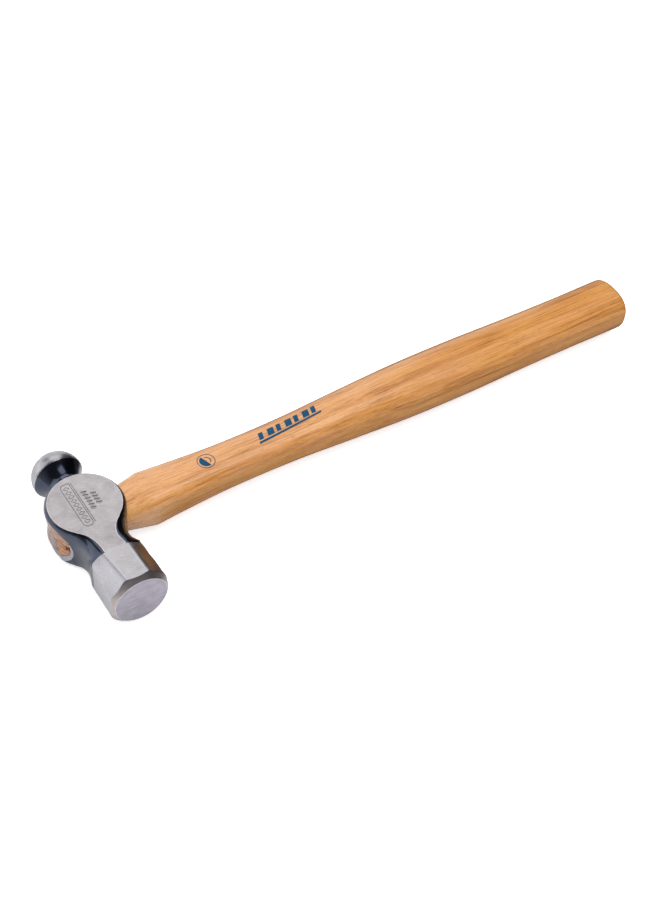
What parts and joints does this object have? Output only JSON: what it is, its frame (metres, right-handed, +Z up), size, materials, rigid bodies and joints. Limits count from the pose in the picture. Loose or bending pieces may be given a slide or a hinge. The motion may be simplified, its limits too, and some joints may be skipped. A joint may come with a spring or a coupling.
{
  "type": "ball peen hammer",
  "caption": "Ball peen hammer with an octagonal poll, round boss, domed peen and a wedged, varnished wooden handle, lying on its side.",
  "frame": {"origin": "middle of the object's box, on the surface that the hammer lies on", "axes": "+X along the handle from the head to its free end, +Y along the head from the striking face to the ball peen, +Z up, square to the flat cheeks"},
  "size_m": [0.3486, 0.1002, 0.0314],
  "materials": {
    "head_steel": "forged steel, satin ground cheeks, poll and peen",
    "head_lacquer": "glossy blue-black lacquer on the boss wall, neck and back of the peen",
    "handle_wood": "clear varnished hickory with long streaky grain",
    "handle_print": "thin blue ink marks under the varnish",
    "wedge_wood": "end of a hardwood wedge, ground flush",
    "wedge_steel": "ground end of a mild steel wedge"
  },
  "bodies": {
    "root": {"hammer_head": "head_steel", "handle": "handle_wood", "wooden_wedge": "wedge_wood", "steel_wedge": "wedge_steel"}
  },
  "joints": []
}
